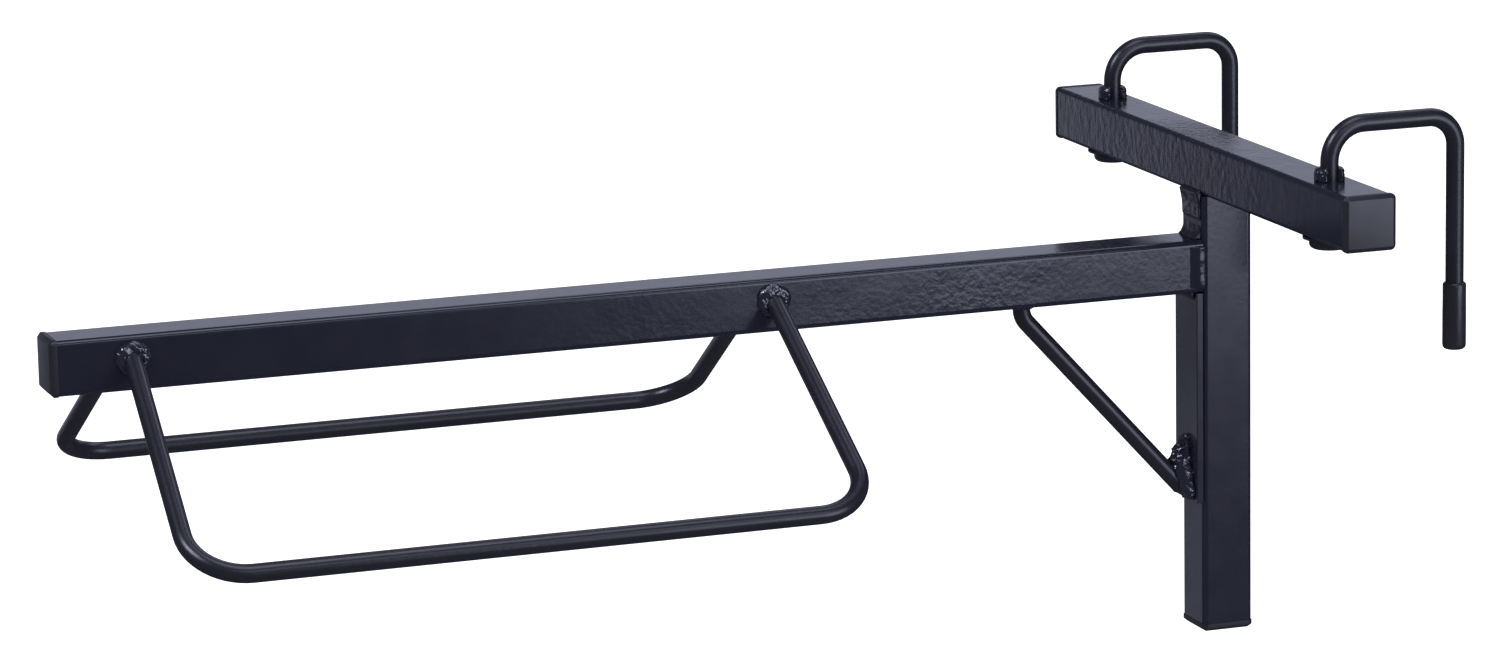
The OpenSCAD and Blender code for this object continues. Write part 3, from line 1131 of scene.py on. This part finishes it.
@dataclass
class Weld:
    """A weld: the frame's plain bead, remeshed finely and roughened as molten metal sets."""

    node: str
    name: str
    seed: float
    grain_size: float = 0.45 * MM
    swell: float = 0.5 * MM
    swell_pitch: float = 5.0 * MM
    wrinkle: float = 0.25 * MM
    wrinkle_pitch: float = 1.6 * MM
    patch_mean: float = 0.6
    patch_swing: float = 0.8
    patch_pitch: float = 2.2
    finer: float = 2.3
    faceted: bool = False
    finish: Finish = WELD_COAT
    smoothing: int = 1
    smoothing_factor: float = 0.5

    def build(self) -> bpy.types.Object:
        """Makes the weld over its node.

        Returns:
            The piece.
        """
        mesh = bmesh.new()
        mesh.from_mesh(self._remeshed())
        for _ in range(self.smoothing):
            bmesh.ops.smooth_vert(
                mesh, verts=mesh.verts, factor=self.smoothing_factor,
                use_axis_x=True, use_axis_y=True, use_axis_z=True,
            )
        mesh.normal_update()
        moves = [(vert, vert.normal * self._height(vert.co)) for vert in mesh.verts]
        for vert, move in moves:
            vert.co += move
        return put_down(
            mesh, self.name, self.finish, [self.node], sharp_above=70.0, faceted=self.faceted
        )

    def _remeshed(self) -> bpy.types.Mesh:
        """The node's shape as an even mesh.

        Returns:
            The mesh.
        """
        plain = bmesh.new()
        plain.from_mesh(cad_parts[self.node].data)
        bmesh.ops.remove_doubles(plain, verts=plain.verts, dist=MERGE)
        holder = add_object(self.name + "_plain", as_data(plain, self.name + "_plain"))
        remesh = holder.modifiers.new("even_mesh", "REMESH")
        remesh.mode = "VOXEL"
        remesh.voxel_size = self.grain_size
        bpy.context.view_layer.update()
        ready = holder.evaluated_get(bpy.context.evaluated_depsgraph_get())
        even = bpy.data.meshes.new_from_object(ready)
        bpy.data.objects.remove(holder)
        return even

    def _height(self, place: Vector) -> float:
        """How far a point of the bead stands out.

        Args:
            place: The point.

        Returns:
            The height, in metres.
        """
        drift = Vector((self.seed, -self.seed, self.seed * 0.5))
        slow = noise.noise(place / self.swell_pitch + drift)
        where = place / self.wrinkle_pitch + drift
        ridge = 1.0 - 2.0 * abs(noise.noise(where)) - abs(noise.noise(where * self.finer))
        spot = place / (self.patch_pitch * self.swell_pitch) - drift
        patch = self.patch_mean + self.patch_swing * noise.noise(spot)
        return self.swell * slow + self.wrinkle * patch * ridge


# Each weld's node, its piece's name and how it set
WELDS = (
    Weld(
        "arm_weld", "arm_end_welds", seed=3.1, swell=0.15 * MM, wrinkle=0.05 * MM,
        wrinkle_pitch=2.2 * MM, finish=SMOOTH_WELD, smoothing=5,
    ),
    Weld(
        "post_weld", "post_top_weld", seed=7.7, swell=0.15 * MM, wrinkle=0.05 * MM,
        wrinkle_pitch=2.6 * MM, finish=SMOOTH_WELD, smoothing=8,
    ),
    Weld("brace_top_weld", "brace_top_bead", seed=5.2, swell=0.3 * MM, wrinkle=0.15 * MM),
    Weld(
        "brace_foot_weld", "brace_foot_bead", seed=2.6, grain_size=1.4 * MM, swell=1.2 * MM,
        swell_pitch=4.5 * MM, wrinkle=1.9 * MM, wrinkle_pitch=4.2 * MM, faceted=True,
    ),
    Weld(
        "wing_welds", "wing_root_beads", seed=4.4, swell=0.9 * MM, swell_pitch=4.0 * MM,
        wrinkle=0.60 * MM, wrinkle_pitch=2.2 * MM,
    ),
    Weld(
        "hook_welds", "hook_tacks", seed=9.3, swell=0.5 * MM, swell_pitch=3.5 * MM,
        wrinkle=0.45 * MM, wrinkle_pitch=1.9 * MM,
    ),
)


# ---- Studio -----------------------------------------------------------------


@dataclass(frozen=True)
class Softbox:
    """A soft light that faces the rack."""

    name: str
    place: tuple[float, float, float]
    size: tuple[float, float]
    watts: float
    colour: Colour = COOL_WHITE

    def build(self, target: Vector) -> None:
        """Sets the light up.

        Args:
            target: The point that it faces.
        """
        light = bpy.data.lights.new(self.name, "AREA")
        light.shape = "RECTANGLE"
        light.size, light.size_y = self.size
        light.energy = self.watts
        light.color = self.colour
        lamp = add_object(self.name, light)
        lamp.location = target + Vector(self.place)
        lamp.rotation_euler = (target - lamp.location).to_track_quat("-Z", "Y").to_euler()
        lamp.visible_camera = False


# Places count from the middle of the rack's box
LIGHTS = (
    Softbox("key_above", place=(0.5, 0.30, 2.5), size=(1.3, 1.3), watts=17.0),
    Softbox("key_right", place=(2.3, 0.4, 1.6), size=(2.0, 0.6), watts=9.0),
    Softbox("front_above", place=(0.5, -2.1, 2.1), size=(1.1, 1.1), watts=55.0),
    Softbox("side_wall", place=(2.80, 1.83, 0.26), size=(1.9, 1.68), watts=40.0),
    Softbox("far_fill", place=(-3.20, -0.72, -0.10), size=(0.7, 1.2), watts=1.5),
    Softbox("low_fill", place=(-3.20, -1.20, -1.02), size=(0.7, 0.45), watts=0.35),
    Softbox("low_back", place=(-3.00, 1.20, 0.70), size=(2.4, 0.9), watts=4.0),
    Softbox("rim_behind", place=(-1.6, 1.6, 2.2), size=(2.2, 1.0), watts=12.0),
)


@dataclass
class Studio:
    """Floor, lights, surroundings and camera."""

    floor_drop: float = 1.1
    floor_size: float = 60.0
    floor_cells: int = 8
    floor_colour: Colour = (0.9, 0.9, 0.9)
    floor_glow: float = 0.55
    room_glow: float = 1.0
    reflected_colour: Colour = (0.76, 0.81, 1.0)
    floor_reflected: float = 0.06
    room_reflected: float = 0.07
    azimuth: float = math.radians(70.40)
    elevation: float = math.radians(11.80)
    roll: float = math.radians(-1.06)
    distance: float = 3.2504
    aim_right: float = 0.0158
    aim_up: float = 0.0371
    lens: float = 142.22
    sensor: float = 36.0

    def build(self, low: Vector, high: Vector) -> None:
        """Sets the studio up around the rack.

        Args:
            low: Lowest corner of the rack's box.
            high: Highest corner of the rack's box.
        """
        centre = (low + high) / 2
        self.floor(low.z - self.floor_drop)
        self.surroundings()
        for light in LIGHTS:
            light.build(centre)
        self.camera(centre)
        bpy.context.scene.view_settings.view_transform = "Standard"

    def floor(self, height: float) -> None:
        """A plain pale floor that shows bright and reflects dim.

        Args:
            height: The floor's height.
        """
        mesh = bmesh.new()
        bmesh.ops.create_grid(
            mesh, x_segments=self.floor_cells, y_segments=self.floor_cells, size=self.floor_size / 2
        )
        bmesh.ops.translate(mesh, vec=(0.0, 0.0, height), verts=mesh.verts)
        data = as_data(mesh, "floor")
        material = bpy.data.materials.new("pale_floor")
        recipe = Recipe(material)
        pale = recipe.node("ShaderNodeBsdfDiffuse", {}, {"Color": opaque(self.floor_colour)})
        lit = self._glow(recipe, "ShaderNodeEmission", WHITE, self.floor_glow)
        shown = recipe.node("ShaderNodeAddShader", {}, {0: pale, 1: lit})
        dim = self._glow(recipe, "ShaderNodeEmission", self.reflected_colour, self.floor_reflected)
        recipe.node("ShaderNodeOutputMaterial", {}, {"Surface": recipe.by_ray(shown, dim)})
        data.materials.append(material)
        piece = add_object("floor", data)
        piece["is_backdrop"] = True

    def surroundings(self) -> None:
        """A pale room that reflects dim."""
        world = bpy.data.worlds.new("pale_room")
        recipe = Recipe(world)
        shown = self._glow(recipe, "ShaderNodeBackground", WHITE, self.room_glow)
        dim = self._glow(recipe, "ShaderNodeBackground", self.reflected_colour, self.room_reflected)
        recipe.node("ShaderNodeOutputWorld", {}, {"Surface": recipe.by_ray(shown, dim)})
        bpy.context.scene.world = world

    @staticmethod
    def _glow(recipe: Recipe, kind: str, colour: Colour, strength: float) -> Value:
        """Adds a shader that gives off light.

        Args:
            recipe: The nodes of the floor or the room.
            kind: Blender's type name of the shader's node.
            colour: Its colour.
            strength: Its strength.

        Returns:
            The shader.
        """
        return recipe.node(kind, {}, {"Color": opaque(colour), "Strength": strength})

    def camera(self, centre: Vector) -> None:
        """The camera, to the right of the rack and a little above it.

        Args:
            centre: Middle of the rack's box.
        """
        back = Vector((
            math.sin(self.azimuth) * math.cos(self.elevation),
            -math.cos(self.azimuth) * math.cos(self.elevation),
            math.sin(self.elevation),
        ))
        right = Vector((math.cos(self.azimuth), math.sin(self.azimuth), 0.0))
        up = back.cross(right)
        data = bpy.data.cameras.new("camera")
        data.lens = self.lens
        data.sensor_width = self.sensor
        data.clip_end = 2 * self.floor_size
        camera = add_object("camera", data)
        turned_right = right * math.cos(self.roll) + up * math.sin(self.roll)
        turned_up = up * math.cos(self.roll) - right * math.sin(self.roll)
        turn = Matrix((turned_right, turned_up, back)).transposed().to_4x4()
        place = centre + back * self.distance + right * self.aim_right + up * self.aim_up
        camera.matrix_world = Matrix.Translation(place) @ turn
        bpy.context.scene.camera = camera


def main() -> None:
    """Builds the rack's pieces in order, then the studio."""
    logging.basicConfig(level=logging.INFO, format="%(name)s: %(message)s")
    low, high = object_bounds()
    TubeFrame().build()
    Wings().build()
    Brace().build()
    Hooks().build()
    for weld in WELDS:
        weld.build()
    Studio().build(low, high)


if __name__ == "__main__":
    main()
